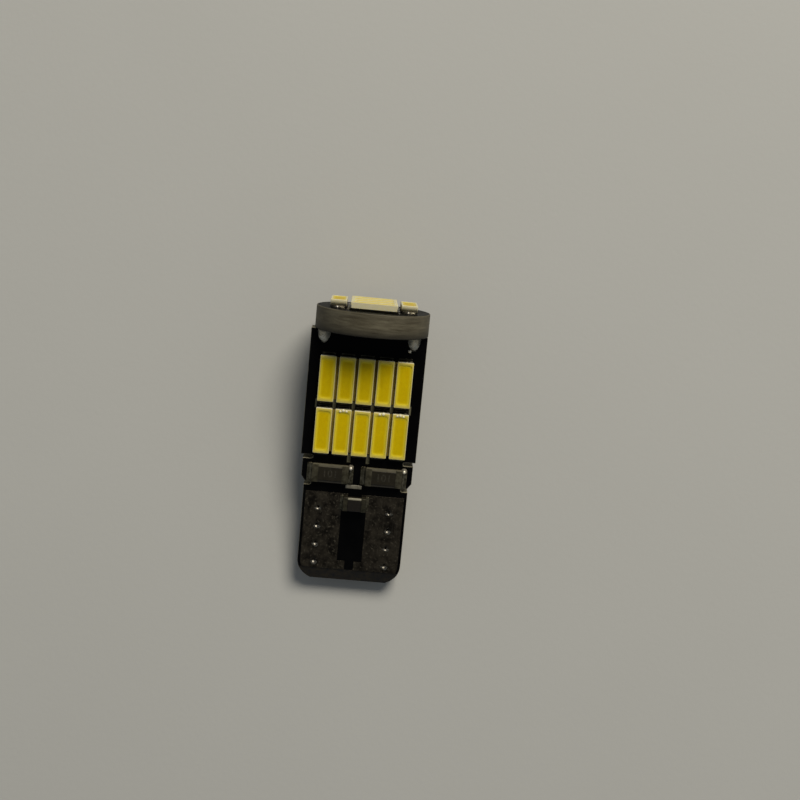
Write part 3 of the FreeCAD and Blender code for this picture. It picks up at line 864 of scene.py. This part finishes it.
def board(name, node, place, edge_finish, face_axis):
    """Board with mask on its two faces and bare laminate on its cut edges; the sloping faces of
    the base get darker laminate, as painted shade.
    """
    mesh = rounded_off(copied(node, place), BOARD_EDGE)
    mesh.normal_update()
    least, most = SLOPE_LEAN
    for face in mesh.faces:
        lean = abs(face.normal[face_axis])
        sloping = least < lean < most and face.calc_area() > SLOPE_AREA
        face.material_index = 0 if lean > FACE_LEAN else 2 if sloping else 1
    finished(name, mesh, place, node, [node], MASK, edge_finish, SHADED_BEVEL_EDGE)


def in_millimetres(matrix):
    """The same change of frame for points in millimetres."""
    result = matrix.copy()
    result.translation = matrix.translation / MM
    return result


def collar(mesh, place, centre):
    """Uneven ring of tin round a plated hole, drawn a little way into it.

    The faces on the base end's side of the hole take a brighter tin: a painted highlight on the
    lip that catches the light.
    """
    turns = [2 * math.pi * step / COLLAR_STEPS for step in range(COLLAR_STEPS)]
    rings = []
    for width, rise in COLLAR_SECTION:
        spots = []
        for turn in turns:
            across, up = math.cos(turn), math.sin(turn)
            swell = 1 + COLLAR_SWELL * noise.noise(centre + Vector((across, up, 0)))
            radius = HOLE_RADIUS + width * swell
            spot = Vector((radius * across, radius * up, rise * swell))
            spots.append(mesh.verts.new(place @ (centre + spot)))
        rings.append(spots)
    first = len(mesh.faces)
    for lower, upper in zip(rings, rings[1:]):
        skin(mesh, lower, upper)
    mesh.faces.ensure_lookup_table()
    for face in mesh.faces[first + COLLAR_STEPS:]:
        towards = place.inverted() @ face.calc_center_median() - centre
        face.material_index = int(towards.y < -COLLAR_LIT * abs(towards.x))


def contact(name, side):
    refined(f"tinned_{name}", name, FRONT, "contact", PLATE_EDGE, TIN)
    mesh = bmesh.new()
    for face, face_side in ((FRONT, side), (BACK, -side)):
        surface = surface_of(name, face)
        for hole in range(HOLE_COUNT):
            centre = Vector((face_side * HOLE_ACROSS, HOLE_START + hole * HOLE_PITCH, surface))
            collar(mesh, in_millimetres(FRONT.inverted() @ face), centre)
    finished(f"collars_{name}", mesh, FRONT, "contact", [], TIN, HIGHLIGHT_TIN)


# Chips

def resistor_pair(face, place):
    refined(f"ends_{face}", f"resistor_ends_{face}", place, "chip_end", PLATE_EDGE, PLATING)
    refined(f"coats_{face}", f"resistor_coats_{face}", place, "overcoat", PLATE_EDGE, OVERCOAT)
    chips = []
    for side in ("left", "right"):
        node = f"resistor_{face}_{side}"
        refined(f"ceramic_{face}_{side}", node, place, "ceramic", PLATE_EDGE, CERAMIC)
        value_marks(node, face, side, place)
        low, high = extent(node, place)
        chips.append((low - PLATED, high + PLATED))
    chip_solder(f"lands_{face}", f"resistor_solder_{face}", chips, place, *RESISTOR_SOLDER)


def value_marks(node, face, side, place):
    """Resistance value in worn ink on the overcoat."""
    text = bpy.data.curves.new("value", "FONT")
    text.body = VALUE
    text.size = VALUE_SIZE * MM
    text.align_x = "CENTER"
    text.align_y = "CENTER"
    text.extrude = INK_THICKNESS * MM
    text.resolution_u = 3
    holder = bpy.data.objects.new("value", text)
    data = bpy.data.meshes.new_from_object(holder)
    bpy.data.objects.remove(holder)
    low, high = extent(node, place)
    middle = (low + high) / 2
    top = surface_of(f"resistor_coats_{face}", place)
    data.transform(place @ moved(middle.x, middle.y, top))
    data.materials.append(INK)
    piece = linked(f"value_{face}_{side}", data)
    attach(piece, "root")


def capacitor():
    refined("capacitor_ceramic", "capacitor_body", FRONT, "capacitor", CHIP_EDGE, BROWN)
    refined("capacitor_plating", "capacitor_ends", FRONT, "chip_end", CHIP_EDGE, DARK_PLATING)
    chip = extent("capacitor_ends", FRONT)
    chip_solder("capacitor_lands", "capacitor_solder", [chip], FRONT, *CAPACITOR_SOLDER)


# Studio

def table_top():
    mesh = bmesh.new()
    bmesh.ops.create_grid(mesh, x_segments=1, y_segments=1, size=TABLE_REACH)
    data = mesh_data("surface", mesh)
    data.materials.append(table_finish())
    linked("surface", data)


def key_light():
    data = bpy.data.lights.new("key", "AREA")
    data.shape = "DISK"
    data.size = KEY_SIZE
    data.energy = KEY_POWER
    data.color = KEY_COLOUR
    source = linked("key", data)
    source.location = KEY_PLACE
    source.rotation_euler = (-Vector(KEY_PLACE)).to_track_quat("-Z", "Y").to_euler()


def surroundings():
    """Plain room: pale towards the horizon, darker overhead."""
    world = bpy.data.worlds.new("room")
    world.use_nodes = True
    tree = world.node_tree
    background = tree.nodes["Background"]
    direction = tree.nodes.new("ShaderNodeTexCoord")
    split = tree.nodes.new("ShaderNodeSeparateXYZ")
    ramp = tree.nodes.new("ShaderNodeValToRGB")
    ramp.color_ramp.elements[0].color = HORIZON
    ramp.color_ramp.elements[1].color = OVERHEAD
    tree.links.new(direction.outputs["Generated"], split.inputs["Vector"])
    tree.links.new(split.outputs["Z"], ramp.inputs["Fac"])
    tree.links.new(ramp.outputs["Color"], background.inputs["Color"])
    bpy.context.scene.world = world


def camera():
    data = bpy.data.cameras.new("camera")
    data.lens = CAMERA_LENS
    data.sensor_width = CAMERA_SENSOR
    data.clip_start = 1 * MM
    data.clip_end = 10
    view = linked("camera", data)
    view.location = Vector(CAMERA_PLACE) * MM
    view.rotation_euler = tuple(math.radians(angle) for angle in CAMERA_TURN)
    bpy.context.scene.camera = view


board("flat_circuit_board", "flat_board", FRONT, FLAT_EDGE, 2)
board("round_circuit_board", "round_board", FRONT, ROUND_EDGE, 1)
contact("contact_left", -1)
contact("contact_right", 1)
led_group("front", FRONT @ ALONG, MOULDING, PHOSPHOR)
led_group("back", BACK @ ALONG, MOULDING, PHOSPHOR)
led_group("top_middle", TOP, SHADED_TOP_MOULDING, SHADED_TOP_PHOSPHOR)
led_group("top_side", TOP @ ALONG, SHADED_TOP_MOULDING, SHADED_TOP_PHOSPHOR)
for face, place in (("front", FRONT), ("back", BACK)):
    resistor_pair(face, place)
    for side in ("left", "right"):
        corner_joint(face, side, place)
capacitor()
front_beads()
side_beads()
pale_specks()
bare_pad()

table_top()
surroundings()
key_light()
camera()
bpy.context.scene.view_settings.view_transform = "Standard"
